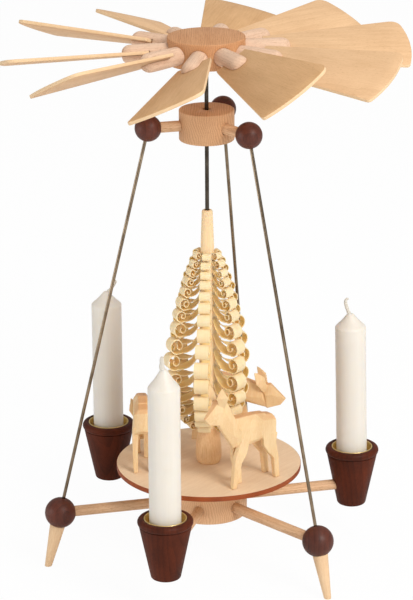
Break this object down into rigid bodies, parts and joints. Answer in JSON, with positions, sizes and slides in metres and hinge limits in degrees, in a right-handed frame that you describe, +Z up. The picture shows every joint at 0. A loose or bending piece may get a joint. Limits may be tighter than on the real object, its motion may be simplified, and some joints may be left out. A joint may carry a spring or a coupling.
{
  "type": "candle carousel",
  "caption": "Small tabletop candle carousel: rising candle heat turns a pitched wooden fan and, on its spindle, a round stage with a shaved tree and deer.",
  "frame": {"origin": "on the spindle's axis, at the height of the three foot tips", "axes": "+Z up along the spindle, +Y over one of the three feet, +X to its right seen from the front"},
  "size_m": [0.1775, 0.1791, 0.2467],
  "materials": {
    "beech": "plain sanded beech, pinkish tan",
    "pale_wood": "plain turned pale wood",
    "thin_wood": "plain thin birch sheet, fine straight grain",
    "table_wood": "smooth pale top with a scorched red-brown edge",
    "carved_wood": "plain carved limewood, pale yellow",
    "stained_wood": "dark brown stain, satin",
    "steel": "drawn grey-brown steel wire",
    "brass": "thin pressed brass, satin",
    "wax": "warm white candle wax",
    "glass": "clear glass"
  },
  "bodies": {
    "stand": {"foot_1": "pale_wood", "foot_2": "pale_wood", "foot_3": "pale_wood", "lower_ball_1": "stained_wood", "lower_ball_2": "stained_wood", "lower_ball_3": "stained_wood", "leg_wire_1": "steel", "leg_wire_2": "steel", "leg_wire_3": "steel", "upper_ball_1": "stained_wood", "upper_ball_2": "stained_wood", "upper_ball_3": "stained_wood", "leg_dowel_1": "pale_wood", "leg_dowel_2": "pale_wood", "leg_dowel_3": "pale_wood", "upper_dowel_1": "pale_wood", "upper_dowel_2": "pale_wood", "upper_dowel_3": "pale_wood", "candle_arm_1": "pale_wood", "candle_arm_2": "pale_wood", "candle_arm_3": "pale_wood", "candle_cup_1": "stained_wood", "candle_cup_2": "stained_wood", "candle_cup_3": "stained_wood", "brass_liner_1": "brass", "brass_liner_2": "brass", "brass_liner_3": "brass", "base_hub": "beech", "top_hub": "beech", "glass_bearing": "glass"},
    "rotor": {"spindle": "steel", "turntable": "table_wood", "shaved_tree": "carved_wood", "deer_1": "carved_wood", "deer_2": "carved_wood", "deer_3": "carved_wood"},
    "fan": {"fan_hub": "beech"},
    "wing_1": {"blade_peg_1": "pale_wood", "fan_blade_1": "thin_wood"},
    "wing_2": {"blade_peg_2": "pale_wood", "fan_blade_2": "thin_wood"},
    "wing_3": {"blade_peg_3": "pale_wood", "fan_blade_3": "thin_wood"},
    "wing_4": {"blade_peg_4": "pale_wood", "fan_blade_4": "thin_wood"},
    "wing_5": {"blade_peg_5": "pale_wood", "fan_blade_5": "thin_wood"},
    "wing_6": {"blade_peg_6": "pale_wood", "fan_blade_6": "thin_wood"},
    "wing_7": {"blade_peg_7": "pale_wood", "fan_blade_7": "thin_wood"},
    "wing_8": {"blade_peg_8": "pale_wood", "fan_blade_8": "thin_wood"},
    "wing_9": {"blade_peg_9": "pale_wood", "fan_blade_9": "thin_wood"},
    "wing_10": {"blade_peg_10": "pale_wood", "fan_blade_10": "thin_wood"},
    "candle_1": {"candle_1": "wax"},
    "candle_2": {"candle_2": "wax"},
    "candle_3": {"candle_3": "wax"}
  },
  "joints": [
    {"name": "rotor_spin", "type": "hinge", "parent": "stand", "child": "rotor", "pos_m": [0, 0, 0], "axis": [0, 0, 1], "continuous": true},
    {"name": "fan_lift", "type": "slide", "parent": "rotor", "child": "fan", "axis": [0, 0, 1], "range_m": [0, 0.025]},
    {"name": "blade_twist_1", "type": "hinge", "parent": "fan", "child": "wing_1", "pos_m": [0, 0, 0.2363], "axis": [0.9205, 0.3907, -0.0087], "range_deg": [-25, 25]},
    {"name": "blade_twist_2", "type": "hinge", "parent": "fan", "child": "wing_2", "pos_m": [0, 0, 0.2363], "axis": [0.515, 0.8571, -0.0087], "range_deg": [-25, 25]},
    {"name": "blade_twist_3", "type": "hinge", "parent": "fan", "child": "wing_3", "pos_m": [0, 0, 0.2363], "axis": [-0.0871, 0.996, -0.0175], "range_deg": [-25, 25]},
    {"name": "blade_twist_4", "type": "hinge", "parent": "fan", "child": "wing_4", "pos_m": [0, 0, 0.2363], "axis": [-0.6554, 0.754, -0.0436], "range_deg": [-25, 25]},
    {"name": "blade_twist_5", "type": "hinge", "parent": "fan", "child": "wing_5", "pos_m": [0, 0, 0.2363], "axis": [-0.9744, 0.225, 0], "range_deg": [-25, 25]},
    {"name": "blade_twist_6", "type": "hinge", "parent": "fan", "child": "wing_6", "pos_m": [0, 0, 0.2363], "axis": [-0.9199, -0.3905, -0.0349], "range_deg": [-25, 25]},
    {"name": "blade_twist_7", "type": "hinge", "parent": "fan", "child": "wing_7", "pos_m": [0, 0, 0.2363], "axis": [-0.515, -0.8571, -0.0087], "range_deg": [-25, 25]},
    {"name": "blade_twist_8", "type": "hinge", "parent": "fan", "child": "wing_8", "pos_m": [0, 0, 0.2363], "axis": [0.0871, -0.9952, -0.0436], "range_deg": [-25, 25]},
    {"name": "blade_twist_9", "type": "hinge", "parent": "fan", "child": "wing_9", "pos_m": [0, 0, 0.2363], "axis": [0.656, -0.7547, 0.0087], "range_deg": [-25, 25]},
    {"name": "blade_twist_10", "type": "hinge", "parent": "fan", "child": "wing_10", "pos_m": [0, 0, 0.2363], "axis": [0.974, -0.2249, -0.0262], "range_deg": [-25, 25]},
    {"name": "candle_lift_1", "type": "slide", "parent": "stand", "child": "candle_1", "axis": [0, 0, 1], "range_m": [0, 0.03]},
    {"name": "candle_lift_2", "type": "slide", "parent": "stand", "child": "candle_2", "axis": [0, 0, 1], "range_m": [0, 0.03]},
    {"name": "candle_lift_3", "type": "slide", "parent": "stand", "child": "candle_3", "axis": [0, 0, 1], "range_m": [0, 0.03]}
  ]
}
